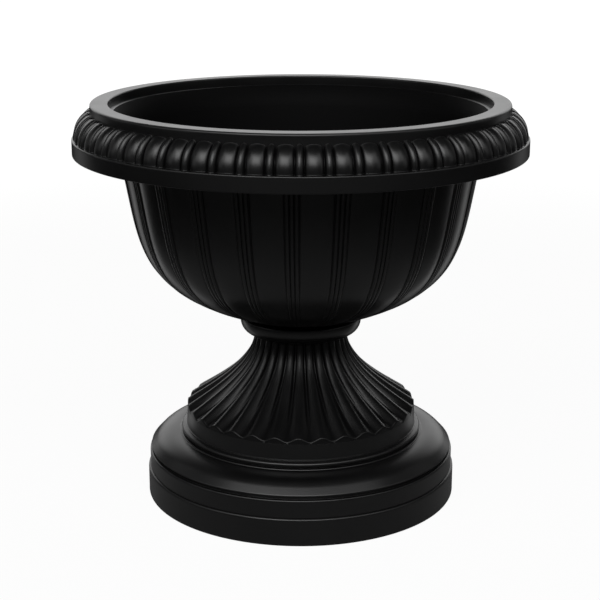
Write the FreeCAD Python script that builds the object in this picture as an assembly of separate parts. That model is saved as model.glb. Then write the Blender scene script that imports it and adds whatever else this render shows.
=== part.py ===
import FreeCAD, Part
import math
import os
from FreeCAD import Vector

# Goblet planter, moulded in black plastic. A reeded bowl under a gadrooned rim ring lifts off a
# fluted pedestal, and a rubber plug closes the drain hole in the bowl's floor.
# Millimetres, +Z up, the ground at Z = 0 and the axis of symmetry on Z. The front is -Y.

# Angles in degrees, and the share of a middle
full_turn = 360
straight_angle = 180
right_angle = 90
front_angle = -90
half = 0.5

# Walls and fits
wall = 3.2
seat_clearance = 0.3
cut_overrun = 2.0

# Heights, stacked from the ground
base_ring_height = 28.4
plinth_band_height = 20.0
dome_step_height = 3.8
dome_height = 14.3
bead_height = 7.6
drum_height = 20.9
hem_drop = 3.4
stem_height = 79.5
collar_height = 18.5
bowl_height = 214.4
lip_height = 10.0

# Base ring
base_ring_ledge = 2.1
base_ring_round = 2.0
base_screw_count = 6

# Plinth
plinth_ledge = 1.7
plinth_round = 1.2
dome_width = 31.0
dome_foot_angle = 32
dome_foot_reach_share = 0.49
dome_crown_angle = 22
dome_crown_reach_share = 0.40
bead_projection = 6.2
bead_middle_share = 0.42
bead_quirk = 0.8
drum_flare = 9.8
plinth_hole_radius = 40.0
stiffener_count = 8
stiffener_wall = 2.4

# Stem: a flare of a hollow sweep, a straight flank and a shoulder, with flutes that deepen downwards
neck_radius = 48.2
hem_radius = 120.3
shoulder_radius = 11.0
flank_angle = 28
flute_count = 32
flute_phase = -0.9
flute_radius = 8.9
flute_neck_depth = 0.6
flute_hem_depth = 5.0
flute_flank_angle = 33
stem_screw_count = 4

# Collar ring
collar_overhang = 14.8
collar_middle_out_share = 0.73
collar_middle_up_share = 0.40
collar_spigot_depth = 12.0

# Bowl: wide panels with a recessed strip of reeding between them, narrower towards the foot
bowl_top_radius = 193.5
bowl_foot_inset = 13.0
bowl_top_angle = 16.3
bowl_top_reach_share = 0.597
bowl_foot_angle = 15.6
bowl_foot_reach_share = 1.036
reed_count = 24
reed_phase = -2.7
reed_width_share = 0.30
reed_depth_share = 0.009
bowl_spigot_depth = 22.0
drain_hole_radius = 11.0

# Rim ring: wide lobes and narrow ribs in turn, bent over a quarter round
lip_inner_radius = 190.4
lip_outer_radius = 209.5
lip_round = 2.0
skirt_radius = 230.0
skirt_height = 16.4
skirt_drop = 24.0
skirt_ledge = 0.8
gadroon_count = 54
gadroon_phase = -0.3
gadroon_radius = 27.7
gadroon_sweep = 82
gadroon_embed = 0.4
gadroon_lobe_width = 16.4
gadroon_lobe_height = 3.6
gadroon_rib_width = 7.0
gadroon_rib_height = 3.9
rim_screw_count = 8

# Screws and their bosses
screw_shank_radius = 2.0
screw_head_radius = 4.0
screw_head_height = 2.6
screw_length = 9.0
screw_hole_clearance = 0.1
boss_radius = 4.5
boss_margin = 1.5

# Drain plug
plug_head_radius = 16.0
plug_head_height = 3.0
plug_taper = 1.5
plug_depth = 9.0
plug_grip_radius = 5.0
plug_grip_height = 11.0

# Levels that follow from the heights
band_top = base_ring_height + plinth_band_height
dome_bottom = band_top + dome_step_height
dome_top = dome_bottom + dome_height
bead_top = dome_top + bead_height
plinth_top = bead_top + drum_height
hem_bottom = plinth_top - hem_drop
stem_top = hem_bottom + stem_height
collar_top = stem_top + collar_height
floor_top = collar_top + wall
bowl_top = collar_top + bowl_height
rim_top = bowl_top + lip_height
skirt_top = bowl_top - skirt_drop
skirt_bottom = skirt_top - skirt_height

# Radii that follow from the sizes
neck_inner_radius = neck_radius - flute_neck_depth - wall
hem_inner_radius = hem_radius - flute_hem_depth - wall
drum_top_radius = hem_inner_radius - seat_clearance
drum_foot_radius = drum_top_radius + drum_flare
bead_radius = drum_foot_radius + bead_projection
dome_foot_radius = bead_radius + dome_width
plinth_band_radius = dome_foot_radius + plinth_ledge
base_ring_radius = plinth_band_radius + base_ring_ledge
collar_radius = neck_radius + collar_overhang
collar_spigot_radius = neck_inner_radius - seat_clearance
collar_bore_radius = collar_spigot_radius - wall
bowl_foot_radius = collar_radius - bowl_foot_inset
bowl_spigot_radius = collar_bore_radius - seat_clearance
bowl_inner_radius = (
    bowl_top_radius * (1 - reed_depth_share) - wall / math.cos(math.radians(bowl_top_angle)))
gadroon_centre_radius = skirt_radius - skirt_ledge - gadroon_radius
gadroon_valley_radius = gadroon_radius - gadroon_lobe_height
base_screw_circle = plinth_band_radius - wall - boss_radius - boss_margin
stem_screw_circle = (plinth_hole_radius + drum_top_radius) * half
rim_screw_circle = bowl_top_radius + boss_radius + boss_margin


def at(radius, height):
    """A point of a section, in the plane of X and Z."""
    return Vector(radius, 0, height)


def polar(radius, angle, height):
    """A point at a radius, at an angle in degrees about Z and at a height."""
    turn = math.radians(angle)
    return Vector(radius * math.cos(turn), radius * math.sin(turn), height)


def leaning(start, reach, angle):
    """The point at a reach from start, at an angle in degrees above the outward direction."""
    lean = math.radians(angle)
    return start + at(reach * math.cos(lean), reach * math.sin(lean))


def bezier(*poles):
    """A Bezier curve on its poles."""
    curve = Part.BezierCurve()
    curve.setPoles(list(poles))
    return curve


def section(start, *steps):
    """A closed face: a step is one point for a line, two for an arc or three for a Bezier curve."""
    edges = []
    here = start
    for step in steps + (start,):
        points = [step] if isinstance(step, Vector) else list(step)
        if len(points) == 1:
            edges.append(Part.makeLine(here, points[0]))
        elif len(points) == 2:
            edges.append(Part.Arc(here, *points).toShape())
        else:
            edges.append(bezier(here, *points).toShape())
        here = points[-1]
    return Part.Face(Part.Wire(edges))


def turned(face):
    """The solid that a section sweeps in a full turn about Z."""
    return face.revolve(Vector(), Vector(0, 0, 1), full_turn)


def post(radius, low, high, circle=0):
    """An upright cylinder between two heights, on a circle about Z."""
    return Part.makeCylinder(radius, high - low, at(circle, low))


def around(shape, count, phase=0):
    """Copies of a shape, evenly spaced about Z from a phase angle."""
    copies = []
    for index in range(count):
        copy = shape.copy()
        copy.rotate(Vector(), Vector(0, 0, 1), phase + full_turn / count * index)
        copies.append(copy)
    return copies


def rounded(corner, round_radius, along_in, along_out):
    """The arc's middle and end for a right-angled corner, given the directions into and out of it."""
    inset = round_radius * (1 - math.sqrt(half))
    middle = corner + (along_out - along_in) * inset
    return middle, corner + along_out * round_radius


def screws(count, circle, seat):
    """Self-tapping screws on a circle, driven upwards, with their heads under a seat height."""
    head_low = seat - screw_head_height
    tip = seat + screw_length
    head_bulge = at(screw_head_radius * math.sqrt(half), seat - screw_head_height * math.sqrt(half))
    screw = turned(section(
        at(0, head_low),
        (head_bulge, at(screw_head_radius, seat)),
        at(screw_shank_radius, seat),
        at(screw_shank_radius, tip - screw_shank_radius),
        at(0, tip)))
    screw.translate(at(circle, 0))
    return around(screw, count)


def screw_holes(count, circle, seat):
    """The holes that such screws pass through."""
    hole = post(screw_shank_radius + screw_hole_clearance, seat - cut_overrun, seat + screw_length, circle)
    return around(hole, count)


def flare(neck, shoulder_centre, shoulder_round, lean):
    """The points of a flare: a hollow sweep that leaves the neck upright, a straight flank that leans
    below the outward direction, and a round shoulder that ends upright at its centre's height."""
    slope = math.tan(math.radians(lean))
    shoulder = leaning(shoulder_centre, shoulder_round, right_angle - lean)
    drop = neck.z - shoulder.z - (shoulder.x - neck.x) * slope
    sweep_radius = drop / (math.cos(math.radians(lean)) - (1 - math.sin(math.radians(lean))) * slope)
    sweep_centre = neck + at(sweep_radius, 0)
    flank_top = leaning(sweep_centre, sweep_radius, -right_angle - lean)
    sweep_middle = leaning(sweep_centre, sweep_radius, -straight_angle + (right_angle - lean) * half)
    shoulder_middle = leaning(shoulder_centre, shoulder_round, (right_angle - lean) * half)
    return {
        "neck": neck,
        "sweep_centre": sweep_centre,
        "sweep_middle": sweep_middle,
        "flank_top": flank_top,
        "shoulder": shoulder,
        "shoulder_middle": shoulder_middle,
        "hem": leaning(shoulder_centre, shoulder_round, 0),
    }


def make_base_ring():
    """The lower band: a skirt that stands on the ground, with a flange on top for the plinth."""
    up = at(0, 1)
    outward = at(1, 0)
    flange_radius = base_screw_circle - boss_radius - boss_margin
    corner = at(base_ring_radius, base_ring_height)
    ring = turned(section(
        at(base_ring_radius, 0),
        corner - up * base_ring_round,
        rounded(corner, base_ring_round, up, -outward),
        at(flange_radius, base_ring_height),
        at(flange_radius, base_ring_height - wall),
        at(base_ring_radius - wall, base_ring_height - wall),
        at(base_ring_radius - wall, 0)))
    return ring.cut(screw_holes(base_screw_count, base_screw_circle, base_ring_height - wall))


def make_plinth():
    """The upper band, dome, bead and drum as one shell, with stiffeners and screw bosses inside."""
    up = at(0, 1)
    outward = at(1, 0)
    band_corner = at(plinth_band_radius, band_top)
    dome_foot = at(dome_foot_radius, dome_bottom)
    dome_crown = at(bead_radius - bead_quirk, dome_top)
    foot_reach = dome_width * dome_foot_reach_share
    crown_reach = dome_width * dome_crown_reach_share
    filled = turned(section(
        at(0, base_ring_height),
        at(plinth_band_radius, base_ring_height),
        band_corner - up * plinth_round,
        rounded(band_corner, plinth_round, up, -outward),
        at(dome_foot_radius, band_top),
        dome_foot,
        (leaning(dome_foot, foot_reach, straight_angle - dome_foot_angle),
         leaning(dome_crown, crown_reach, dome_crown_angle),
         dome_crown),
        (at(bead_radius, dome_top + bead_height * bead_middle_share), at(drum_foot_radius, bead_top)),
        at(drum_top_radius, hem_bottom),
        at(drum_top_radius, plinth_top),
        at(0, plinth_top)))
    inner_foot = dome_foot - at(wall, wall)
    inner_crown = at(drum_foot_radius - wall, dome_top - wall)
    cavity = turned(section(
        at(0, base_ring_height - cut_overrun),
        at(plinth_band_radius - wall, base_ring_height - cut_overrun),
        at(plinth_band_radius - wall, band_top - wall),
        at(dome_foot_radius - wall, band_top - wall),
        inner_foot,
        (leaning(inner_foot, foot_reach, straight_angle - dome_foot_angle),
         leaning(inner_crown, crown_reach, 0),
         inner_crown),
        at(drum_top_radius - wall, hem_bottom),
        at(drum_top_radius - wall, plinth_top - wall),
        at(0, plinth_top - wall)))
    stiffener = Part.makeBox(
        dome_foot_radius - plinth_hole_radius, stiffener_wall, plinth_top - band_top,
        Vector(plinth_hole_radius, -stiffener_wall * half, band_top))
    boss = post(boss_radius, base_ring_height, dome_top, base_screw_circle)
    kept = around(stiffener, stiffener_count, full_turn / stiffener_count * half)
    kept += around(boss, base_screw_count)
    holes = screw_holes(base_screw_count, base_screw_circle, base_ring_height - wall)
    holes += screw_holes(stem_screw_count, stem_screw_circle, plinth_top - wall)
    holes.append(post(plinth_hole_radius, plinth_top - wall - cut_overrun, plinth_top + cut_overrun))
    return filled.cut(cavity.cut(kept)).cut(holes)


def make_flute_cutter(shoulder_centre):
    """A round tool along a flute: down the sweep, along the flank, round the shoulder, past the hem."""
    neck = at(neck_radius + flute_radius - flute_neck_depth, stem_top)
    path_round = shoulder_radius + flute_radius - flute_hem_depth
    path = flare(neck, shoulder_centre, path_round, flute_flank_angle)
    sideways = Vector(0, 1, 0)
    flank = path["shoulder"] - path["flank_top"]
    turn = right_angle - flute_flank_angle
    neck_disc = Part.Face(Part.Wire(Part.makeCircle(flute_radius, neck, at(0, 1))))
    flank_disc = Part.Face(Part.Wire(Part.makeCircle(flute_radius, path["flank_top"], flank)))
    hem_disc = Part.Face(Part.Wire(Part.makeCircle(flute_radius, path["hem"], at(0, 1))))
    sweep = neck_disc.revolve(path["sweep_centre"], -sideways, turn)
    shoulder = hem_disc.revolve(shoulder_centre, -sideways, turn)
    return sweep.fuse([
        neck_disc.extrude(at(0, cut_overrun)),
        flank_disc.extrude(flank),
        shoulder,
        hem_disc.extrude(at(0, -cut_overrun))])


def make_stem():
    """The fluted flare, hollow, with a ledge and screw bosses that stand on the plinth's top."""
    shoulder_centre = at(hem_radius - shoulder_radius, hem_bottom)
    outer = flare(at(neck_radius, stem_top), shoulder_centre, shoulder_radius, flank_angle)
    inner_round = shoulder_radius - flute_hem_depth - wall
    inner = flare(at(neck_inner_radius, stem_top), shoulder_centre, inner_round, flute_flank_angle)
    filled = turned(section(
        at(0, hem_bottom),
        outer["hem"],
        (outer["shoulder_middle"], outer["shoulder"]),
        outer["flank_top"],
        (outer["sweep_middle"], outer["neck"]),
        at(0, stem_top)))
    cavity = turned(section(
        at(0, hem_bottom - cut_overrun),
        at(hem_inner_radius, hem_bottom - cut_overrun),
        inner["hem"],
        (inner["shoulder_middle"], inner["shoulder"]),
        inner["flank_top"],
        (inner["sweep_middle"], inner["neck"]),
        at(neck_inner_radius, stem_top + cut_overrun),
        at(0, stem_top + cut_overrun)))
    seat = post(hem_inner_radius, hem_bottom - cut_overrun, plinth_top)
    flutes = around(make_flute_cutter(shoulder_centre), flute_count, front_angle + flute_phase)
    bosses = around(post(boss_radius, plinth_top, stem_top, stem_screw_circle), stem_screw_count)
    holes = screw_holes(stem_screw_count, stem_screw_circle, plinth_top - wall)
    return filled.cut(flutes).cut(cavity.fuse(seat).cut(bosses)).cut(holes)


def make_collar_ring():
    """The round-sided ring between stem and bowl, with a spigot down into the stem's neck."""
    middle_out = neck_radius + collar_overhang * collar_middle_out_share
    middle_up = stem_top + collar_height * collar_middle_up_share
    return turned(section(
        at(neck_radius, stem_top),
        (at(middle_out, middle_up), at(collar_radius, collar_top)),
        at(collar_bore_radius, collar_top),
        at(collar_bore_radius, stem_top - collar_spigot_depth),
        at(collar_spigot_radius, stem_top - collar_spigot_depth),
        at(collar_spigot_radius, stem_top)))


def make_bowl():
    """The bowl: a turned shell with reeded strips, a flange for the rim ring, a floor and a spigot."""
    foot = at(bowl_foot_radius, collar_top)
    top = at(bowl_top_radius, bowl_top)
    top_angle = -right_angle - bowl_top_angle
    foot_reach = (bowl_top_radius - bowl_foot_radius) * bowl_foot_reach_share
    top_reach = bowl_height * bowl_top_reach_share
    poles = (foot, leaning(foot, foot_reach, bowl_foot_angle), leaning(top, top_reach, top_angle), top)

    def widened(share):
        """The outline's poles, with their radii grown by a share."""
        return [at(pole.x * (1 + share), pole.z) for pole in poles]

    panelled = turned(section(at(0, collar_top), foot, poles[1:], at(0, bowl_top)))
    deep = widened(-reed_depth_share)
    clear = widened(reed_depth_share)
    strip_angle = full_turn / reed_count * reed_width_share
    strip_face = section(clear[0], clear[1:], deep[3], deep[2::-1])
    strip = strip_face.revolve(Vector(), Vector(0, 0, 1), strip_angle)
    strips = around(strip, reed_count, front_angle + reed_phase - strip_angle * half)
    flange_radius = rim_screw_circle + boss_radius
    spigot_bottom = collar_top - bowl_spigot_depth
    filled = panelled.cut(strips).fuse([
        post(flange_radius, bowl_top - wall, bowl_top),
        post(bowl_spigot_radius, spigot_bottom, floor_top)])
    inner_foot = at(bowl_foot_radius, floor_top)
    inner_top = at(bowl_inner_radius, bowl_top)
    cavity = turned(section(
        at(0, floor_top),
        inner_foot,
        (leaning(inner_foot, foot_reach - wall, bowl_foot_angle),
         leaning(inner_top, top_reach, top_angle),
         inner_top),
        at(bowl_inner_radius, bowl_top + cut_overrun),
        at(0, bowl_top + cut_overrun)))
    holes = screw_holes(rim_screw_count, rim_screw_circle, bowl_top - wall)
    holes.append(post(bowl_spigot_radius - wall, spigot_bottom - cut_overrun, collar_top))
    holes.append(post(drain_hole_radius, collar_top - cut_overrun, floor_top + cut_overrun))
    return filled.cut(cavity).cut(holes)


def make_gadroon(width, height):
    """One bulge of the rim: a round tube bent about the gadroons' centre, less what the wall holds."""
    tube_radius = (width ** 2 / 4 + height ** 2) / (2 * height)
    bend_radius = gadroon_valley_radius + height - tube_radius
    centre = at(gadroon_centre_radius, skirt_top)
    circle = Part.makeCircle(tube_radius, centre + at(bend_radius, 0), Vector(0, 0, 1))
    tube = Part.Face(Part.Wire(circle)).revolve(centre, Vector(0, -1, 0), gadroon_sweep)
    buried_radius = gadroon_valley_radius - gadroon_embed
    buried = turned(section(
        centre,
        leaning(centre, buried_radius, 0),
        (leaning(centre, buried_radius, right_angle * half), leaning(centre, buried_radius, right_angle))))
    return tube.cut(buried)


def make_rim_ring():
    """The rim: a flat lip, gadroons round a quarter-round band, and a plain skirt, hollow below."""
    up = at(0, 1)
    outward = at(1, 0)
    centre = at(gadroon_centre_radius, skirt_top)
    inner_corner = at(lip_inner_radius, rim_top)
    outer_corner = at(lip_outer_radius, rim_top)

    def band_steps(radius, outer_radius):
        """Down the lip's side at outer_radius, and along a quarter round to the skirt's top."""
        lean = math.degrees(math.acos((outer_radius - gadroon_centre_radius) / radius))
        return (
            leaning(centre, radius, lean),
            (leaning(centre, radius, lean * half), leaning(centre, radius, 0)))

    filled = turned(section(
        at(lip_inner_radius, skirt_bottom),
        inner_corner - up * lip_round,
        rounded(inner_corner, lip_round, up, outward),
        outer_corner - outward * lip_round,
        rounded(outer_corner, lip_round, outward, -up),
        *band_steps(gadroon_valley_radius, lip_outer_radius),
        at(skirt_radius, skirt_top),
        at(skirt_radius, skirt_bottom)))
    cavity = turned(section(
        at(lip_inner_radius - cut_overrun, bowl_top),
        at(lip_inner_radius + wall, bowl_top),
        at(lip_inner_radius + wall, rim_top - wall),
        at(lip_outer_radius - wall, rim_top - wall),
        *band_steps(gadroon_valley_radius - wall, lip_outer_radius - wall),
        leaning(centre, gadroon_valley_radius - wall, 0) - up * wall,
        at(skirt_radius - wall, skirt_top - wall),
        at(skirt_radius - wall, skirt_bottom - cut_overrun),
        at(lip_inner_radius - cut_overrun, skirt_bottom - cut_overrun)))
    bulge_phase = front_angle + gadroon_phase + full_turn / gadroon_count * half
    rib_phase = front_angle + gadroon_phase
    gadroons = around(make_gadroon(gadroon_lobe_width, gadroon_lobe_height), gadroon_count, bulge_phase)
    gadroons += around(make_gadroon(gadroon_rib_width, gadroon_rib_height), gadroon_count, rib_phase)
    bosses = around(post(boss_radius, bowl_top, rim_top, rim_screw_circle), rim_screw_count)
    holes = screw_holes(rim_screw_count, rim_screw_circle, bowl_top - wall)
    return filled.fuse(gadroons).cut(cavity.cut(bosses)).cut(holes)


def make_drain_plug():
    """A rubber stopper: a tapered shank in the drain hole, a head on the floor and a grip on top."""
    shank_radius = drain_hole_radius - seat_clearance
    return turned(section(
        at(0, floor_top - plug_depth),
        at(shank_radius - plug_taper, floor_top - plug_depth),
        at(shank_radius, floor_top),
        at(plug_head_radius, floor_top),
        at(plug_head_radius, floor_top + plug_head_height),
        at(plug_grip_radius, floor_top + plug_head_height),
        at(plug_grip_radius, floor_top + plug_head_height + plug_grip_height),
        at(0, floor_top + plug_head_height + plug_grip_height)))


def export(node, shape):
    """Writes a node's solid, or its group of like solids."""
    solid = Part.makeCompound(shape) if isinstance(shape, list) else shape.removeSplitter().Solids[0]
    solid.exportStep("parts/" + node + ".step")
    print(node, "valid" if solid.isValid() else "NOT VALID", len(solid.Faces), "faces", round(solid.Volume))


os.makedirs("parts", exist_ok=True)
export("base_ring", make_base_ring())
export("base_ring_screws", screws(base_screw_count, base_screw_circle, base_ring_height - wall))
export("plinth", make_plinth())
export("stem", make_stem())
export("stem_screws", screws(stem_screw_count, stem_screw_circle, plinth_top - wall))
export("collar_ring", make_collar_ring())
export("bowl", make_bowl())
export("rim_ring", make_rim_ring())
export("rim_screws", screws(rim_screw_count, rim_screw_circle, bowl_top - wall))
export("drain_plug", make_drain_plug())
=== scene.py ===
import math

import bpy
import numpy as np
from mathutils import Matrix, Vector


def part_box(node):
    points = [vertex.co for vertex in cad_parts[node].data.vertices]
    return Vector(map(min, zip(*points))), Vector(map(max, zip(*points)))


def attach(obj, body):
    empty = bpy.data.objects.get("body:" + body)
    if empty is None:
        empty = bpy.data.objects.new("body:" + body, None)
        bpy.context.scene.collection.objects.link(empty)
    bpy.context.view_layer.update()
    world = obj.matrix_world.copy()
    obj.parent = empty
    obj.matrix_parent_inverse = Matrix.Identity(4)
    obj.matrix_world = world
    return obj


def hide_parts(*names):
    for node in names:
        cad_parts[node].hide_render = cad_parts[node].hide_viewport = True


# A goblet planter in black moulded plastic: a reeded bowl under a gadrooned rim, on a fluted pedestal.
# Metres, +Z up, the ground at Z = 0, the axis on Z and the photographed front towards -Y.

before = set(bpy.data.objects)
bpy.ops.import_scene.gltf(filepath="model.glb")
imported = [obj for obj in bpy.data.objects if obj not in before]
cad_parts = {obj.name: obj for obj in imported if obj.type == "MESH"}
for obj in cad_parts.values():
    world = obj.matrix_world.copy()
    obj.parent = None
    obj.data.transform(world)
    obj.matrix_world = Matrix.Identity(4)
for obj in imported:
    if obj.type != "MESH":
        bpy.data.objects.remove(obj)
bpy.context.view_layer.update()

MM = 0.001
WALL = 3.2 * MM
FRONT = -math.pi / 2

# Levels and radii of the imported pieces
base_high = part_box("base_ring")[1]
plinth_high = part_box("plinth")[1]
stem_low, stem_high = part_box("stem")
collar_low, collar_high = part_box("collar_ring")
bowl_low, bowl_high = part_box("bowl")
rim_low, rim_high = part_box("rim_ring")
plug_low, plug_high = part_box("drain_plug")

base_radius = base_high[0]
base_top = base_high[2]
band_radius = plinth_high[0]
plinth_top = plinth_high[2]
hem_radius = stem_high[0]
hem_bottom = stem_low[2]
stem_top = stem_high[2]
collar_radius = collar_high[0]
collar_top = collar_high[2]
collar_spigot_bottom = collar_low[2]
spigot_bottom = bowl_low[2]
bowl_top = bowl_high[2]
flange_radius = bowl_high[0]
floor_top = collar_top + WALL
skirt_radius = rim_high[0]
skirt_bottom = rim_low[2]
rim_top = rim_high[2]
plug_head_radius = plug_high[0]
plug_bottom = plug_low[2]
plug_top = plug_high[2]


# Outlines in the plane of radius and height

fillet_rows = 5
support_run = 2 * MM
support_shares = np.array([[0.06], [0.94]])


def bezier(start, first, second, end, count):
    """Points of a cubic Bezier curve: (1-t)^3 start + 3t(1-t)^2 first + 3t^2(1-t) second + t^3 end, with t
    even in 0..1."""
    t = np.linspace(0, 1, count)[:, None]
    start, first, second, end = (np.array(point) for point in (start, first, second, end))
    near_start = (1 - t) ** 3 * start + 3 * t * (1 - t) ** 2 * first
    return near_start + 3 * t ** 2 * (1 - t) * second + t ** 3 * end


def arc(centre, radius, first_angle, last_angle, count):
    """Points at a radius from a centre, with the angle above the outward direction even in its range."""
    angle = np.radians(np.linspace(first_angle, last_angle, count))
    return np.array(centre) + radius * np.stack([np.cos(angle), np.sin(angle)], axis=1)


def fillet(corner, before, after, rounding):
    """A rounded corner: the parabola corner + rounding * ((1-t)^2 way_in + t^2 way_out), with t in 0..1 and
    the two ways running from the corner to its neighbours."""
    corner, before, after = (np.array(point[:2]) for point in (corner, before, after))
    way_in = (before - corner) / np.linalg.norm(before - corner)
    way_out = (after - corner) / np.linalg.norm(after - corner)
    t = np.linspace(0, 1, fillet_rows)[:, None]
    return corner + rounding * ((1 - t) ** 2 * way_in + t ** 2 * way_out)


def closed_outline(*items):
    """One closed loop of (radius, height) rows. An item is a corner (radius, height, rounding), where no
    rounding leaves it sharp, or an array of rows along a curve. A long run between two rounded or curved
    stretches gets a row near each end, which keeps it flat under smooth shading."""
    stretches = []
    for index, item in enumerate(items):
        if isinstance(item, np.ndarray):
            stretches.append(item)
            continue
        before = items[index - 1]
        after = items[(index + 1) % len(items)]
        before = before[-1] if isinstance(before, np.ndarray) else before
        after = after[0] if isinstance(after, np.ndarray) else after
        rounding = item[2]
        stretches.append(fillet(item, before, after, rounding) if rounding else np.array([item[:2]]))
    rows = []
    for stretch, following in zip(stretches, stretches[1:] + stretches[:1]):
        rows.append(stretch)
        run = following[0] - stretch[-1]
        if len(stretch) > 1 and len(following) > 1 and np.linalg.norm(run) > support_run:
            rows.append(stretch[-1] + support_shares * run)
    return np.concatenate(rows)


# Meshes from grids of points

def grid_piece(name, points, material, body, *nodes):
    """A closed grid as a smooth mesh: rows run round an outline, columns run round the axis, both wrap."""
    rows, columns = points.shape[:2]
    corner = np.arange(rows * columns).reshape(rows, columns)
    beside = np.roll(corner, -1, axis=1)
    above = np.roll(corner, -1, axis=0)
    across = np.roll(beside, -1, axis=0)
    quads = np.stack([corner, beside, across, above], axis=-1).reshape(-1, 4)
    mesh = bpy.data.meshes.new(name)
    mesh.vertices.add(rows * columns)
    mesh.vertices.foreach_set("co", points.reshape(-1))
    mesh.loops.add(quads.size)
    mesh.loops.foreach_set("vertex_index", quads.reshape(-1))
    mesh.polygons.add(len(quads))
    mesh.polygons.foreach_set("loop_start", np.arange(len(quads)) * 4)
    mesh.update(calc_edges=True)
    mesh.validate()
    mesh.shade_smooth()
    piece = bpy.data.objects.new(name, mesh)
    bpy.context.scene.collection.objects.link(piece)
    mesh.materials.append(material)
    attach(piece, body)
    if nodes:
        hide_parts(*nodes)
    return piece


def revolved(radius, height, angle):
    """Points (radius cos angle, radius sin angle, height) for every row and column."""
    radius, height, angle = np.broadcast_arrays(radius, height, angle)
    return np.stack([radius * np.cos(angle), radius * np.sin(angle), height], axis=-1)


def turned(outline, columns=384):
    """An outline carried once round the axis."""
    angle = np.linspace(0, 2 * np.pi, columns, endpoint=False)[None, :]
    return revolved(outline[:, :1], outline[:, 1:], angle)


# Shader maths as Python expressions

class Value:
    """A shader socket whose arithmetic adds Math nodes to its tree."""

    def __init__(self, tree, socket):
        self.tree = tree
        self.socket = socket

    def node(self, kind, settings=None, output=0, **inputs):
        """Adds a node and returns one of its outputs. Settings are the node's own attributes. Inputs are
        values or links by the socket's name, or by its number, as in i0, where names repeat."""
        made = self.tree.nodes.new(kind)
        for key, setting in (settings or {}).items():
            setattr(made, key, setting)
        for key, given in inputs.items():
            index = int(key[1:]) if key[0] == "i" and key[1:].isdigit() else key.replace("_", " ")
            if isinstance(given, Value):
                self.tree.links.new(given.socket, made.inputs[index])
            else:
                made.inputs[index].default_value = given
        return Value(self.tree, made.outputs[output] if made.outputs else None)

    def math(self, operation, first, second=0.0):
        return self.node("ShaderNodeMath", {"operation": operation}, i0=first, i1=second)

    def __add__(self, other):
        return self.math("ADD", self, other)

    def __sub__(self, other):
        return self.math("SUBTRACT", self, other)

    def __rsub__(self, other):
        return self.math("SUBTRACT", other, self)

    def __mul__(self, other):
        return self.math("MULTIPLY", self, other)

    __radd__ = __add__
    __rmul__ = __mul__

    def most(self, other):
        return self.math("MAXIMUM", self, other)

    def smooth(self, low, high):
        """0 below low, 1 above high and an S-curve between them."""
        settings = {"interpolation_type": "SMOOTHSTEP"}
        return self.node("ShaderNodeMapRange", settings, Value=self, From_Min=low, From_Max=high)


def shader_tree(owner):
    """Clears a material's or world's node tree and returns a Value that adds nodes to it."""
    owner.use_nodes = True
    owner.node_tree.nodes.clear()
    return Value(owner.node_tree, None)


def finish_surface(maker, kind, surface):
    """Links a shader to the tree's output."""
    maker.node(kind, Surface=surface)


def noise(maker, scale, detail, roughness):
    """Fractal noise over a piece's own coordinates."""
    place = maker.node("ShaderNodeTexCoord", output="Object")
    return maker.node("ShaderNodeTexNoise", Vector=place, Scale=scale, Detail=detail, Roughness=roughness)


def colour_between(maker, share, low, high):
    """A colour mixed from low to high by a share. The Mix node's sockets share their names, so its
    colour sockets go by number."""
    return maker.node("ShaderNodeMix", {"data_type": "RGBA"}, output=2, i0=share, i6=low, i7=high)


# Finishes

plastic_ior = 1.5
deep_black = (0.0028, 0.0028, 0.0029, 1)
pale_black = (0.0038, 0.0038, 0.0040, 1)
# A darker black for the bowl's inside: painted shade in its hollow.
deep_inner_shade_black = (0.0022, 0.0022, 0.0023, 1)
pale_inner_shade_black = (0.0034, 0.0034, 0.0035, 1)
deep_rubber = (0.010, 0.010, 0.010, 1)
bloomed_rubber = (0.022, 0.022, 0.021, 1)
dull_zinc = (0.46, 0.46, 0.45, 1)
bright_zinc = (0.62, 0.62, 0.60, 1)


def moulded_plastic(name, shine):
    """Black polypropylene: a fine grain, and a faint flow mottling in its colour and gloss."""
    material = bpy.data.materials.new(name)
    maker = shader_tree(material)
    patch = noise(maker, scale=14.0, detail=3.0, roughness=0.55).smooth(0.3, 0.7)
    grain = noise(maker, scale=2400.0, detail=2.0, roughness=0.5)
    surface = maker.node(
        "ShaderNodeBsdfPrincipled", IOR=plastic_ior, Specular_IOR_Level=shine,
        Base_Color=colour_between(maker, patch, deep_black, pale_black),
        Roughness=0.29 + 0.04 * patch + 0.06 * (grain - 0.5),
        Normal=maker.node("ShaderNodeBump", Strength=0.02, Distance=0.3 * MM, Height=grain))
    finish_surface(maker, "ShaderNodeOutputMaterial", surface)
    return material


def shaded_inner_plastic():
    """The same black on the bowl's inside, rougher, darker and nearly glossless: painted shade in its
    hollow.
    """
    material = bpy.data.materials.new("inner_plastic_painted_shade")
    maker = shader_tree(material)
    grain = noise(maker, scale=700.0, detail=3.0, roughness=0.6)
    surface = maker.node(
        "ShaderNodeBsdfPrincipled", IOR=plastic_ior, Specular_IOR_Level=0.05,
        Base_Color=colour_between(maker, grain, deep_inner_shade_black, pale_inner_shade_black),
        Roughness=0.58 + 0.1 * grain,
        Normal=maker.node("ShaderNodeBump", Strength=0.15, Distance=0.4 * MM, Height=grain))
    finish_surface(maker, "ShaderNodeOutputMaterial", surface)
    return material


def plug_rubber():
    """Dull black rubber with a soft bloom."""
    material = bpy.data.materials.new("plug_rubber")
    maker = shader_tree(material)
    bloom = noise(maker, scale=120.0, detail=4.0, roughness=0.6)
    surface = maker.node(
        "ShaderNodeBsdfPrincipled", IOR=plastic_ior,
        Base_Color=colour_between(maker, bloom, deep_rubber, bloomed_rubber),
        Roughness=0.62 + 0.15 * bloom,
        Normal=maker.node("ShaderNodeBump", Strength=0.1, Distance=0.4 * MM, Height=bloom))
    finish_surface(maker, "ShaderNodeOutputMaterial", surface)
    return material


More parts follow.
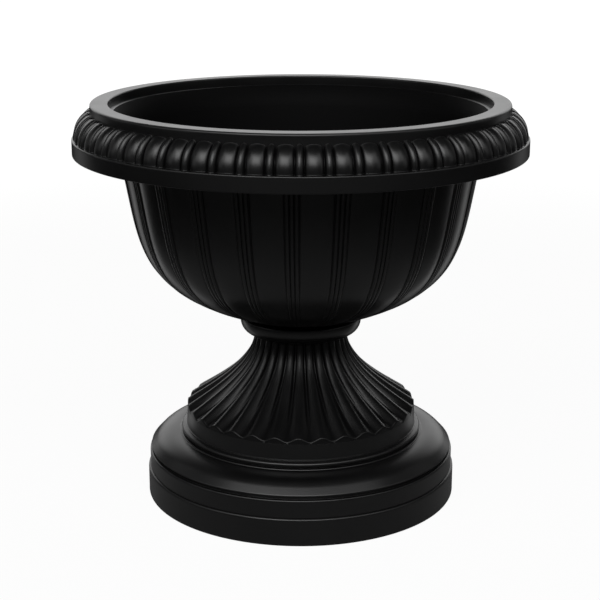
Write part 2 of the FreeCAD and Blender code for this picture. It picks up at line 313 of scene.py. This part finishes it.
def zinc_steel():
    """Zinc-plated steel with a mottled passivated gloss."""
    material = bpy.data.materials.new("zinc_steel")
    maker = shader_tree(material)
    mottle = noise(maker, scale=420.0, detail=3.0, roughness=0.6)
    surface = maker.node(
        "ShaderNodeBsdfPrincipled", Metallic=1.0,
        Base_Color=colour_between(maker, mottle, dull_zinc, bright_zinc),
        Roughness=0.28 + 0.2 * mottle)
    finish_surface(maker, "ShaderNodeOutputMaterial", surface)
    return material


plastic = moulded_plastic("black_moulded_plastic", shine=0.5)
# A copy with less shine for the stem: painted shade that dims its highlights under the overhanging bowl.
stem_plastic_painted_shade = moulded_plastic("black_stem_plastic_painted_shade", shine=0.27)
inner_painted_shade = shaded_inner_plastic()
rubber = plug_rubber()
zinc = zinc_steel()


# Base ring

base_flange_width = 22.2 * MM
base_foot_round = 0.8 * MM
base_top_round = 2.8 * MM
base_lining_round = 0.6 * MM


def make_base_ring():
    """A skirt with a rounded top edge and an inward flange, turned."""
    flange_inner = base_radius - base_flange_width
    lining = base_radius - WALL
    outline = closed_outline(
        (base_radius, 0, base_foot_round),
        (base_radius, base_top, base_top_round),
        (flange_inner, base_top, 0),
        (flange_inner, base_top - WALL, 0),
        (lining, base_top - WALL, 0),
        (lining, 0, base_lining_round))
    return grid_piece("base_ring_moulding", turned(outline), plastic, "pedestal", "base_ring")


# Plinth: its levels and radii

plinth_ledge = 1.7 * MM
band_height = 20 * MM
dome_step = 3.8 * MM
dome_height = 14.3 * MM
bead_height = 7.6 * MM
dome_width = 31 * MM
bead_projection = 6.2 * MM
drum_flare = 9.8 * MM
drum_lap = 2.2 * MM
plinth_hole_radius = 40 * MM

dome_foot_radius = band_radius - plinth_ledge
band_top = base_top + band_height
dome_bottom = band_top + dome_step
dome_top = dome_bottom + dome_height
bead_top = dome_top + bead_height
ring_radius = dome_foot_radius - dome_width
drum_foot_radius = ring_radius - bead_projection
drum_top_radius = drum_foot_radius - drum_flare
drum_rim_radius = hem_radius
rim_bottom = hem_bottom - drum_lap

# Plinth: the points of its fine steps, curves and roundings
band_foot_round = 0.5 * MM
band_edge_drop = 0.8 * MM
band_edge_round = 2.8 * MM
groove_radius = dome_foot_radius - 3.2 * MM
groove_bottom = band_top - 2.0 * MM
groove_top = band_top + 1.0 * MM
dome_lip_drop = 1.7 * MM
crease_round = 0.3 * MM
fine_round = 0.2 * MM
dome_foot = (dome_foot_radius - 0.1 * MM, dome_bottom - 0.9 * MM)
dome_bend = (dome_foot_radius - 5.6 * MM, dome_bottom + 4.9 * MM)
dome_flank = (dome_foot_radius - 10.6 * MM, dome_bottom + 10.1 * MM)
dome_shoulder = (ring_radius + 12.5 * MM, dome_top - 1.0 * MM)
dome_crown = (ring_radius + 0.3 * MM, dome_top - 1.2 * MM)
dome_rows = 30
dome_foot_share = 0.1
low_ring = (ring_radius - 0.2 * MM, dome_top - 0.3 * MM, 0.8 * MM)
low_quirk = (drum_foot_radius + 3.0 * MM, dome_top - 0.3 * MM, fine_round)
bead_round = 2.7 * MM
bead_centre = (drum_foot_radius + 2.0 * MM, dome_top + bead_round)
bead_first_angle = -75
bead_last_angle = 95
bead_rows = 16
high_quirk = (drum_foot_radius + 0.3 * MM, dome_top + 5.9 * MM, fine_round)
high_ring = (drum_foot_radius + 0.9 * MM, bead_top - 0.6 * MM, 0.6 * MM)
drum_foot = (drum_foot_radius - 0.4 * MM, bead_top - 0.3 * MM, fine_round)
drum_rim_round = 0.08 * MM
plinth_top_round = 0.8 * MM
lining_crown = (drum_foot_radius + 9.2 * MM, dome_top - WALL)
lining_flank = (dome_foot_radius - 16 * MM, dome_bottom + 4.8 * MM)
dome_lining_rows = 10


def make_plinth():
    """Band, groove, domed step, bead between two fine rings and a drum as one turned shell, open below. The
    dome is a straight foot and a Bezier curve, the bead an arc."""
    dome = bezier(dome_bend, dome_flank, dome_shoulder, dome_crown, dome_rows)
    foot = np.array([dome_foot])
    dome = np.concatenate([foot, (1 - dome_foot_share) * foot + dome_foot_share * dome[:1], dome])
    bead = arc(bead_centre, bead_round, bead_first_angle, bead_last_angle, bead_rows)
    dome_lining = bezier(
        (drum_foot_radius - WALL, dome_top - WALL), lining_crown, lining_flank,
        (dome_foot_radius - WALL, dome_bottom - WALL), dome_lining_rows)
    outline = closed_outline(
        (band_radius, base_top, band_foot_round),
        (band_radius, band_top - band_edge_drop, band_edge_round),
        (groove_radius, groove_bottom, crease_round),
        (groove_radius, groove_top, crease_round),
        (dome_foot_radius, dome_bottom - dome_lip_drop, crease_round),
        dome,
        low_ring,
        low_quirk,
        bead,
        high_quirk,
        high_ring,
        drum_foot,
        (drum_rim_radius, rim_bottom, drum_rim_round),
        (drum_top_radius, rim_bottom, fine_round),
        (drum_top_radius, plinth_top, plinth_top_round),
        (plinth_hole_radius, plinth_top, 0),
        (plinth_hole_radius, plinth_top - WALL, 0),
        (drum_top_radius - WALL, plinth_top - WALL, 0),
        (drum_top_radius - WALL, hem_bottom - WALL, 0),
        dome_lining,
        (groove_radius - WALL, band_top - WALL, 0),
        (band_radius - WALL, band_top - WALL, 0),
        (band_radius - WALL, base_top, 0))
    return grid_piece("plinth_moulding", turned(outline), plastic, "pedestal", "plinth")


# Stiffeners and screw posts inside the plinth

stiffener_count = 8
stiffener_wall = 2.4 * MM
stiffener_sink = 0.6 * WALL
stiffener_flank = (dome_foot_radius - 12 * MM, dome_bottom + 4 * MM)
post_count = 6
post_radius = 4.5 * MM
post_height = 24.5 * MM
post_inset = 6 * MM
post_circle = band_radius - WALL - post_inset
post_sides = 24


def prism_faces(start, count):
    """Faces of a prism whose points are two matching loops, one after the other: both ends, the first one
    turned round, and a ring of quads."""
    first = start + np.arange(count)
    second = first + count
    sides = np.stack([np.roll(first, 1), first, second, np.roll(second, 1)], axis=1)
    return [first[::-1].tolist(), second.tolist()] + sides.tolist()


def make_stiffeners():
    """Upright plates from the plinth's hole out to its band, and posts for the base ring's screws: prisms
    on an outline of (radius, height) turned to each plate's angle, and on a circle."""
    plate = np.array([
        (plinth_hole_radius, band_top),
        (band_radius - 2 * WALL, band_top),
        stiffener_flank,
        (drum_foot_radius - stiffener_sink, dome_top - stiffener_sink),
        (drum_top_radius - stiffener_sink, hem_bottom - stiffener_sink),
        (drum_top_radius - stiffener_sink, plinth_top - stiffener_sink),
        (plinth_hole_radius, plinth_top - stiffener_sink)])
    upward = np.array([0, 0, 1])
    loops = []
    for turn in (np.arange(stiffener_count) + 0.5) * 2 * np.pi / stiffener_count:
        outward = np.array([np.cos(turn), np.sin(turn), 0])
        across = np.array([-np.sin(turn), np.cos(turn), 0])
        middle = plate[:, :1] * outward + plate[:, 1:] * upward
        loops += [middle + stiffener_wall / 2 * across, middle - stiffener_wall / 2 * across]
    angle = np.linspace(0, 2 * np.pi, post_sides, endpoint=False)
    circle = post_radius * np.stack([np.cos(angle), np.sin(angle), 0 * angle], axis=1)
    for turn in np.arange(post_count) * 2 * np.pi / post_count:
        foot = np.array([post_circle * np.cos(turn), post_circle * np.sin(turn), base_top])
        loops += [foot + circle, foot + circle + post_height * upward]
    faces = []
    start = 0
    for loop in loops[::2]:
        faces += prism_faces(start, len(loop))
        start += 2 * len(loop)
    mesh = bpy.data.meshes.new("plinth_stiffeners")
    mesh.from_pydata(np.concatenate(loops).tolist(), [], faces)
    mesh.materials.append(plastic)
    piece = bpy.data.objects.new("plinth_stiffeners", mesh)
    bpy.context.scene.collection.objects.link(piece)
    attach(piece, "pedestal")
    return piece


# Stem

neck_radius = 48.2 * MM
flute_count = 32
flute_columns = 30
flute_ridge = math.radians(-1.1) + FRONT
flute_foot_depth = 4.0 * MM
flute_depth_gain = 5.0 * MM
flute_depth_loss = 5.4 * MM
ridge_width_share = 0.87
ridge_round_share = 0.5
upright_relief_share = 0.25
crest_foot = (hem_radius, hem_bottom + 3.9 * MM)
crest_flank = (hem_radius - 28.3 * MM, hem_bottom + 22.4 * MM)
crest_throat = (neck_radius + 1.3 * MM, stem_top - 32.1 * MM)
crest_neck = (neck_radius, stem_top)
crest_rows = 52
lining_neck = (neck_radius - 2 * WALL, stem_top)
lining_throat = (neck_radius - 6 * MM, stem_top - 36 * MM)
lining_flare = (hem_radius - 36 * MM, hem_bottom + 12 * MM)
lining_hem = (hem_radius - 2 * WALL, rim_bottom)
stem_lining_rows = 16
hem_round = 2.1 * MM
hem_slope = 0.55
hem_in_shares = np.array([[0], [0.06], [0.25], [0.56]])
hem_down_shares = np.array([[1.0], [0.25], [0.06], [0.06]])
hem_clear_share = 1.1
hem_foot_row = 0.1 * MM


def flute_section(turn, roundness):
    """Depth below a ridge's crown as a share of the flute's, over a turn of 0 at the crown and 1 in the
    flute: a cosine wave, blended by the roundness into 1 - sqrt(1 - (turn / width)^2), a round ridge beside
    a flat floor."""
    wave = 0.5 - 0.5 * np.cos(np.pi * turn)
    round_ridge = 1 - np.sqrt(1 - np.minimum(turn / ridge_width_share, 1) ** 2)
    return wave + roundness * (round_ridge - wave)


def make_stem():
    """A trumpet cut off at its foot by a cylinder: broad ridges and narrow flutes, sunk straight down at
    the foot, so that its edge waves, and square to the surface above. The depth is a parabola up the
    flank."""
    crest = bezier(crest_foot, crest_flank, crest_throat, crest_neck, crest_rows)
    lining = bezier(lining_neck, lining_throat, lining_flare, lining_hem, stem_lining_rows)
    along = np.linspace(0, 1, crest_rows)[:, None]
    way = np.gradient(crest, axis=0)
    lean = np.arctan2(-way[:, :1], way[:, 1:])
    lean = lean + (np.pi / 2 - lean) * np.clip(1 - along / upright_relief_share, 0, 1) ** 2
    depth = flute_foot_depth + flute_depth_gain * along - flute_depth_loss * along ** 2
    roundness = np.clip(along / ridge_round_share, 0, 1)
    angle = np.linspace(0, 2 * np.pi, flute_count * flute_columns, endpoint=False)[None, :]
    turn = np.abs((flute_count * (angle - flute_ridge) / np.pi + 1) % 2 - 1)
    sunk = depth * flute_section(turn, roundness)
    flank_radius = crest[:, :1] - sunk * np.cos(lean)
    flank_height = crest[:, 1:] - sunk * np.sin(lean)
    flank = crest[:, 0] < hem_radius - hem_clear_share * hem_round
    hem_edge_radius = hem_radius - hem_round * hem_in_shares
    hem_edge_height = flank_height[:1] + hem_round * (hem_slope * hem_in_shares - hem_down_shares)
    foot_height = np.array([[rim_bottom], [rim_bottom + hem_foot_row]])
    plain = np.ones_like(angle)
    radius = np.concatenate([
        hem_radius * np.ones_like(foot_height) * plain, hem_edge_radius * plain,
        flank_radius[flank], lining[:, :1] * plain])
    height = np.concatenate([
        foot_height * plain, hem_edge_height,
        flank_height[flank], lining[:, 1:] * plain])
    # The stem takes the less shiny copy: painted shade on its highlights.
    return grid_piece("stem_moulding", revolved(radius, height, angle), stem_plastic_painted_shade, "pedestal", "stem")


# Collar ring

neck_flute_depth = 0.6 * MM
seat_clearance = 0.3 * MM
collar_spigot_radius = neck_radius - neck_flute_depth - WALL - seat_clearance
collar_bore_radius = collar_spigot_radius - WALL
collar_foot = (neck_radius + 0.4 * MM, stem_top)
collar_bulge = (neck_radius + 9.5 * MM, stem_top + 1.2 * MM)
collar_shoulder = (collar_radius + 0.4 * MM, collar_top - 12 * MM)
collar_side_top = (collar_radius, collar_top - 2 * MM)
collar_edge = (collar_radius - 0.3 * MM, collar_top, 1.4 * MM)
collar_bore_round = 0.4 * MM
collar_rows = 20


def make_collar():
    """A round-sided ring with a spigot down into the neck, turned."""
    side = bezier(collar_foot, collar_bulge, collar_shoulder, collar_side_top, collar_rows)
    outline = closed_outline(
        side,
        collar_edge,
        (collar_bore_radius, collar_top, collar_bore_round),
        (collar_bore_radius, collar_spigot_bottom, 0),
        (collar_spigot_radius, collar_spigot_bottom, 0),
        (collar_spigot_radius, stem_top, 0))
    return grid_piece("collar_moulding", turned(outline, columns=256), plastic, "pedestal", "collar_ring")


# Bowl

bowl_foot_radius = 50 * MM
bowl_edge_radius = 193.5 * MM
bowl_inner_radius = 188.4 * MM
bowl_spigot_radius = 37.6 * MM
bowl_foot_reach = 143.1 * MM
bowl_foot_rise = 40 * MM
bowl_lining_reach = 140 * MM
bowl_lining_rise = 39.1 * MM
bowl_edge_reach = 35.9 * MM
bowl_edge_drop = 122.9 * MM
bowl_rows = 50
bowl_lining_rows = 16
drain_radius = 11 * MM
drain_round = 0.5 * MM
floor_hair = 0.01 * MM
reed_count = 24
reed_phase = math.radians(-2.7) + FRONT
reed_zone = math.radians(2.35)
reed_zone_hair = math.radians(0.04)
panel_height_share = 0.009
panel_fall_share = 0.6
panel_columns = 15
bead_pitch = math.radians(1.45)
bead_half_width = math.radians(0.66)
bead_height_share = 0.0108
bead_columns = 9


def bowl_relief(turn):
    """The bowl's relief as a share of its radius: a panel falls as the square of its distance from its
    middle, and a recessed strip between panels carries three round beads, each sqrt(1 - (x / width)^2)."""
    half_pitch = np.pi / reed_count
    from_panel = np.clip((half_pitch - np.abs(turn)) / (half_pitch - reed_zone), 0, 1)
    panel = panel_height_share * (1 - panel_fall_share * from_panel ** 2)
    bead_turn = turn - bead_pitch * np.clip(np.round(turn / bead_pitch), -1, 1)
    bead = bead_height_share * np.sqrt(np.clip(1 - (bead_turn / bead_half_width) ** 2, 0, 1))
    return np.where(np.abs(turn) < reed_zone, bead, panel)


def make_bowl():
    """A turned shell whose outer rows carry the relief, with a flange, a floor, a drain and a spigot."""
    outer = bezier(
        (bowl_foot_radius, collar_top),
        (bowl_foot_radius + bowl_foot_reach, collar_top + bowl_foot_rise),
        (bowl_edge_radius - bowl_edge_reach, bowl_top - bowl_edge_drop),
        (bowl_edge_radius, bowl_top - WALL), bowl_rows)
    inner = bezier(
        (bowl_inner_radius, bowl_top),
        (bowl_inner_radius - bowl_edge_reach, bowl_top - bowl_edge_drop),
        (bowl_foot_radius + bowl_lining_reach, floor_top + bowl_lining_rise),
        (bowl_foot_radius, floor_top), bowl_lining_rows)
    outline = closed_outline(
        (bowl_spigot_radius, spigot_bottom, 0),
        (bowl_spigot_radius, collar_top, 0),
        outer,
        (flange_radius, bowl_top - WALL, 0),
        (flange_radius, bowl_top, 0),
        inner,
        (drain_radius, floor_top, drain_round),
        (drain_radius, collar_top, 0),
        (bowl_spigot_radius - WALL, collar_top, 0),
        (bowl_spigot_radius - WALL, spigot_bottom, 0))
    pitch = 2 * np.pi / reed_count
    across_bead = bead_half_width * np.sin(np.linspace(-np.pi / 2, np.pi / 2, bead_columns))
    beads = (bead_pitch * np.array([[-1], [0], [1]]) + across_bead).reshape(-1)
    strip_edge = reed_zone - reed_zone_hair
    on_panel = np.linspace(reed_zone, pitch - reed_zone, panel_columns)
    turn = np.concatenate([[-strip_edge], beads, [strip_edge], on_panel])
    angle = (reed_phase + pitch * np.arange(reed_count)[:, None] + turn).reshape(1, -1)
    from_reeds = np.where(turn > pitch / 2, turn - pitch, turn)
    relief = np.tile(bowl_relief(from_reeds), reed_count)[None, :]
    on_bowl = np.isin(outline[:, 0], outer[1:, 0])[:, None]
    radius = outline[:, :1] * (1 + on_bowl * (relief - panel_height_share))
    points = revolved(radius, outline[:, 1:], angle)
    piece = grid_piece("bowl_moulding", points, plastic, "bowl", "bowl")
    # The inside faces take the darker, nearly glossless copy: painted shade in the bowl.
    first_inside = np.flatnonzero((outline == inner[0]).all(axis=1))[0]
    inside = (np.arange(len(outline)) >= first_inside) & (outline[:, 1] > floor_top - floor_hair)
    piece.data.materials.append(inner_painted_shade)
    piece.data.polygons.foreach_set("material_index", np.repeat(inside, angle.shape[1]).astype(np.int32))
    return piece


# Rim ring

lip_inner_radius = 193.0 * MM
lip_outer_radius = 211.0 * MM
lip_top = rim_top - 0.4 * MM
lip_side_bottom = lip_top - 6.5 * MM
lip_outer_round = 2.6 * MM
lip_inner_round = 1.6 * MM
lip_foot_row = 0.4 * MM
skirt_top = skirt_bottom + 16.4 * MM
skirt_edge_drop = 0.5 * MM
skirt_edge_round = 1.6 * MM
skirt_foot_round = 0.7 * MM
skirt_ledge_radius = skirt_radius - 1.7 * MM
gadroon_centre = np.array([skirt_radius - 29.6 * MM, skirt_top])
gadroon_valley = 24.1 * MM
gadroon_count = 54
gadroon_phase = math.radians(-0.3) + FRONT
lobe_height = 3.6 * MM
lobe_half_width = math.radians(2.08)
lobe_columns = 15
rib_height = 4.0 * MM
rib_half_width = math.radians(0.92)
rib_columns = 9
bulge_power = 0.55
gap_depth = 2.0 * MM
groove_half_width = math.radians(0.012)
crown_drop = 1.2 * MM
crown_start_share = 0.9
foot_shares = [0, 0.012]
flank_shares = np.linspace(0.04, crown_start_share, 15)
crown_shares = np.linspace(0.92, 1, 7)
ledge_row = 0.12 * MM
lip_row = 0.2 * MM
rim_lining_rows = 3


def gadroon_relief(turn):
    """Height over the band's valley: wide lobes and narrow ribs in turn, each height * (1 - x^2)^power, and
    between them gaps that fall evenly to their middles."""
    half_pitch = np.pi / gadroon_count
    lobe = np.clip(1 - (np.abs(np.abs(turn) - half_pitch) / lobe_half_width) ** 2, 0, 1) ** bulge_power
    rib = np.clip(1 - (np.abs(turn) / rib_half_width) ** 2, 0, 1) ** bulge_power
    lobe_edge = half_pitch - lobe_half_width
    gap_half_width = (lobe_edge - rib_half_width) / 2
    from_gap = np.abs(np.abs(turn) - rib_half_width - gap_half_width) / gap_half_width
    return lobe_height * lobe + rib_height * rib - gap_depth * np.clip(1 - from_gap, 0, 1)


def gadrooned_band(relief):
    """The band's radius and height per row and column: a reach of valley + relief from the band's centre,
    swung from level up to where it meets the lip's side, less a drop over its last tenth that rolls its top
    over, with a narrow row on each plain face it meets. The rows lie at shares of that swing."""
    side = lip_outer_radius - gadroon_centre[0]
    share = np.concatenate([foot_shares, flank_shares, crown_shares])[:, None]
    reach = gadroon_valley + relief
    lean = share * np.arccos(side / reach)
    radius = gadroon_centre[0] + reach * np.cos(lean)
    near_lip = np.clip((share - crown_start_share) / (1 - crown_start_share), 0, 1)
    roll = crown_drop * np.clip(relief / lobe_height, 0, 1) * near_lip ** 2
    height = gadroon_centre[1] + reach * np.sin(lean) - roll
    radius = np.concatenate([radius[:1] + ledge_row, radius, radius[-1:]])
    height = np.concatenate([height[:1], height, height[-1:] + lip_row])
    return radius, height


def make_rim():
    """A flat lip, a gadrooned quarter round and a plain skirt, hollow below."""
    lining_reach = gadroon_valley - WALL
    lining_lean = math.degrees(math.acos((lip_outer_radius - WALL - gadroon_centre[0]) / lining_reach))
    band_lining = arc(gadroon_centre, lining_reach, lining_lean, 0, rim_lining_rows)
    rest = closed_outline(
        (lip_outer_radius, lip_side_bottom, 0),
        (lip_outer_radius, lip_top, lip_outer_round),
        (lip_inner_radius, lip_top, lip_inner_round),
        (lip_inner_radius, bowl_top + lip_foot_row, 0),
        (lip_inner_radius, bowl_top, 0),
        (lip_inner_radius + WALL, bowl_top, 0),
        (lip_inner_radius + WALL, rim_top - WALL, 0),
        (lip_outer_radius - WALL, rim_top - WALL, 0),
        band_lining,
        (gadroon_centre[0] + lining_reach, skirt_top - WALL, 0),
        (skirt_radius - WALL, skirt_top - WALL, 0),
        (skirt_radius - WALL, skirt_bottom, 0),
        (skirt_radius, skirt_bottom, skirt_foot_round),
        (skirt_radius, skirt_top - skirt_edge_drop, skirt_edge_round),
        (skirt_ledge_radius, skirt_top - skirt_edge_drop, 0))
    pitch = 2 * np.pi / gadroon_count
    gap_middle = (rib_half_width + pitch / 2 - lobe_half_width) / 2
    groove = gap_middle + groove_half_width * np.array([-1, 1])
    turn = np.concatenate([
        rib_half_width * np.sin(np.linspace(-np.pi / 2, np.pi / 2, rib_columns)),
        groove,
        pitch / 2 + lobe_half_width * np.sin(np.linspace(-np.pi / 2, np.pi / 2, lobe_columns)),
        pitch - groove[::-1]])
    angle = (gadroon_phase + pitch * np.arange(gadroon_count)[:, None] + turn).reshape(1, -1)
    from_rib = np.where(turn > pitch / 2, turn - pitch, turn)
    gadroon_radius, gadroon_height = gadrooned_band(np.tile(gadroon_relief(from_rib), gadroon_count))
    plain = np.ones_like(angle)
    radius = np.concatenate([gadroon_radius, rest[:, :1] * plain])
    height = np.concatenate([gadroon_height, rest[:, 1:] * plain])
    return grid_piece("rim_moulding", revolved(radius, height, angle), plastic, "bowl", "rim_ring")


# Drain plug

plug_core_radius = 0.2 * MM
plug_shank_radius = drain_radius - 0.3 * MM
plug_tip_radius = plug_shank_radius - 1.5 * MM
plug_tip_round = 0.6 * MM
plug_head_top = floor_top + 3 * MM
plug_head_low_round = 0.5 * MM
plug_head_round = 1.1 * MM
plug_grip_radius = 5 * MM
plug_grip_foot_round = 0.8 * MM
plug_grip_round = 1.6 * MM


def make_plug():
    """A stopper with a tapered shank, a round-edged head and a grip, turned."""
    outline = closed_outline(
        (plug_core_radius, plug_bottom, 0),
        (plug_tip_radius, plug_bottom, plug_tip_round),
        (plug_shank_radius, floor_top, 0),
        (plug_head_radius, floor_top, plug_head_low_round),
        (plug_head_radius, plug_head_top, plug_head_round),
        (plug_grip_radius, plug_head_top, plug_grip_foot_round),
        (plug_grip_radius, plug_top, plug_grip_round),
        (plug_core_radius, plug_top, 0))
    piece = grid_piece("drain_stopper", turned(outline, columns=96), rubber, "plug", "drain_plug")
    return piece


for piece in (make_base_ring(), make_plinth(), make_stiffeners(), make_stem(), make_collar(), make_bowl(),
              make_rim()):
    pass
make_plug()

for node in ("base_ring_screws", "stem_screws", "rim_screws"):
    fastener = bpy.data.objects[node]
    fastener.data.materials.clear()
    fastener.data.materials.append(zinc)


# Floor, with a pair of values wherever something fades in from the first to the second

floor_reach = 9.0
floor_white = 0.88
floor_whiter = (1.0, 3.0)
floor_shown = (base_radius - 10 * MM, base_radius - 5 * MM)
floor_glow = 1.08
floor_shade = 0.4
# Painted light and shade of the floor, seen only in reflections:
mirrored_loss = 0.11
far_loss = 0.25
far_floor = (0.35, 0.75)
front_gain = 0.16
front_floor = (0.9, 1.4)
streak_shift = 0.12
streak_white = 0.65
streak_inner_edge = (-0.24, -0.08)
streak_outer_edge = (0.04, 0.19)
streak_start = (0.02, 0.12)
streak_near_share = 0.5
streak_brighter = (0.2, 0.6)
streak_end_loss = 0.6
streak_end = (0.8, 1.1)
planter_shadow_strength = 0.88
planter_shadow_start = (0.15, 0.35)
planter_shadow_edge = (-0.3, -0.1)


def make_floor():
    """A pale floor that looks white to the camera outside the base and keeps a faint shadow round it. In
    reflections its light and shade are painted: it is grey and fades with distance, with a painted bright
    streak that slants away behind the planter on each side, a painted shadow of the planter between the
    streaks and a paler front. The slant is (|x| - shift - y) / (|x| + y)."""
    material = bpy.data.materials.new("pale_floor")
    maker = shader_tree(material)
    place = maker.node("ShaderNodeTexCoord", output="Object")
    along = maker.node("ShaderNodeSeparateXYZ", output="Y", Vector=place)
    across = maker.node("ShaderNodeSeparateXYZ", output="X", Vector=place)
    camera_ray = maker.node("ShaderNodeLightPath", output="Is Camera Ray")
    glossy_ray = maker.node("ShaderNodeLightPath", output="Is Glossy Ray")
    clear_ray = maker.node("ShaderNodeLightPath", output="Is Transmission Ray")
    sideways = maker.math("ABSOLUTE", across)
    away = maker.math("SQRT", along * along + across * across)
    slant = maker.math("DIVIDE", sideways - streak_shift - along, sideways + along)
    # Painted reflection: a bright streak on the floor, seen only in glossy rays.
    streak = slant.smooth(*streak_inner_edge) * (1 - slant.smooth(*streak_outer_edge))
    streak = streak * along.smooth(*streak_start)
    streak = streak * (streak_near_share + (1 - streak_near_share) * away.smooth(*streak_brighter))
    streak = streak * (1 - streak_end_loss * along.smooth(*streak_end))
    white = floor_white + (1 - floor_white) * away.smooth(*floor_whiter)
    white = white * camera_ray * away.smooth(*floor_shown)
    white = white.most(streak_white * streak * glossy_ray.most(clear_ray))
    # Painted light and shade in reflections: the floor darker with distance and paler far in front.
    front = (0 - along).smooth(*front_floor)
    loss = mirrored_loss + far_loss * away.smooth(*far_floor) - front_gain * front
    # Painted shadow of the planter on the floor, seen only in reflections, between the two streaks.
    planter_shadow = along.smooth(*planter_shadow_start) * (1 - slant.smooth(*planter_shadow_edge))
    shade = (floor_shade - glossy_ray * loss) * (1 - planter_shadow_strength * glossy_ray * planter_shadow)
    grey = maker.node("ShaderNodeCombineColor", Red=shade, Green=shade, Blue=shade)
    paper = maker.node("ShaderNodeBsdfDiffuse", Color=grey)
    glow = maker.node("ShaderNodeEmission", Color=(1, 1, 1, 1), Strength=floor_glow)
    surface = maker.node("ShaderNodeMixShader", i0=white, i1=paper, i2=glow)
    finish_surface(maker, "ShaderNodeOutputMaterial", surface)
    corners = floor_reach * np.array([(-1, -1, 0), (1, -1, 0), (1, 1, 0), (-1, 1, 0)])
    mesh = bpy.data.meshes.new("floor")
    mesh.from_pydata(corners.tolist(), [], [(0, 1, 2, 3)])
    mesh.materials.append(material)
    floor = bpy.data.objects.new("floor", mesh)
    bpy.context.scene.collection.objects.link(floor)


# World, lights and camera

room_light = 0.03
fill_light = 0.04
wall_light = 0.8
wall_gain = 0.6
wall_brighter = (0.06, 0.22)
wall_side = (0.0, 0.35)
wall_top = (0.3, 0.6)
bowl_middle = (0, 0, 0.3)
bowl_foot = (0, 0, 0.25)
camera_place = (-0.8 * MM, -1.487, 0.623)
camera_pitch = 15.727
camera_sensor = 36
camera_lens = 88.73


def make_world():
    """White to the camera; in reflections a dim room with a pale wall low at the back; a soft fill."""
    world = bpy.data.worlds.new("studio")
    bpy.context.scene.world = world
    maker = shader_tree(world)
    direction = maker.node("ShaderNodeTexCoord", output="Generated")
    along = maker.node("ShaderNodeSeparateXYZ", output="Y", Vector=direction)
    across = maker.node("ShaderNodeSeparateXYZ", output="X", Vector=direction)
    up = maker.node("ShaderNodeSeparateXYZ", output="Z", Vector=direction)
    camera_ray = maker.node("ShaderNodeLightPath", output="Is Camera Ray")
    glossy_ray = maker.node("ShaderNodeLightPath", output="Is Glossy Ray")
    clear_ray = maker.node("ShaderNodeLightPath", output="Is Transmission Ray")
    sideways = maker.math("ABSOLUTE", across)
    wall = (along - sideways).smooth(*wall_side) * (1 - up.smooth(*wall_top))
    room = room_light + wall * (wall_light + wall_gain * up.smooth(*wall_brighter))
    shiny = glossy_ray.most(clear_ray)
    strength = camera_ray.most(shiny * room) + fill_light * (1 - camera_ray.most(shiny))
    surface = maker.node("ShaderNodeBackground", Color=(1, 1, 1, 1), Strength=strength)
    finish_surface(maker, "ShaderNodeOutputWorld", surface)


def softbox(name, place, aim, width, height, power):
    """A rectangular studio light at a place, turned towards a point."""
    lamp = bpy.data.lights.new(name, "AREA")
    lamp.shape = "RECTANGLE"
    lamp.size = width
    lamp.size_y = height
    lamp.energy = power
    light = bpy.data.objects.new(name, lamp)
    light.location = place
    way = np.array(aim) - np.array(place)
    flat = math.hypot(way[0], way[1])
    light.rotation_euler = (math.atan2(flat, -way[2]), 0, math.atan2(-way[0], way[1]))
    light.visible_camera = False
    bpy.context.scene.collection.objects.link(light)


def make_lights():
    """A graded key above the camera, a softbox on each side and weaker lights at the sides and back."""
    softbox("key", (-0.3, -2.9, 2.95), bowl_middle, width=2.2, height=1.3, power=14.0)
    softbox("key_scrim", (-0.31, -2.95, 3.0), bowl_middle, width=4.0, height=2.3, power=76.0)
    softbox("left_front", (-2.3, -2.0, 3.0), bowl_middle, width=2.4, height=2.2, power=26.0)
    softbox("right_front", (2.3, -2.0, 3.0), bowl_middle, width=2.4, height=2.2, power=20.0)
    softbox("left_low", (-3.0, -0.9, 1.5), bowl_middle, width=2.0, height=1.6, power=5.0)
    softbox("right_low", (3.0, -0.9, 1.5), bowl_middle, width=2.0, height=1.6, power=4.0)
    softbox("left", (-1.7, 0.6, 0.9), bowl_foot, width=0.5, height=1.2, power=0.5)
    softbox("right", (1.7, 0.6, 0.9), bowl_foot, width=0.5, height=1.2, power=0.4)
    softbox("back", (0.3, 1.4, 2.3), bowl_middle, width=0.9, height=0.5, power=4.0)


def make_camera():
    """The photograph's view: a long lens that looks slightly down on the planter."""
    lens = bpy.data.cameras.new("camera")
    lens.sensor_width = camera_sensor
    lens.lens = camera_lens
    camera = bpy.data.objects.new("camera", lens)
    camera.location = camera_place
    camera.rotation_euler = (math.radians(90 - camera_pitch), 0, 0)
    bpy.context.scene.collection.objects.link(camera)
    bpy.context.scene.camera = camera


make_floor()
make_world()
make_lights()
make_camera()
bpy.context.scene.view_settings.view_transform = "Standard"
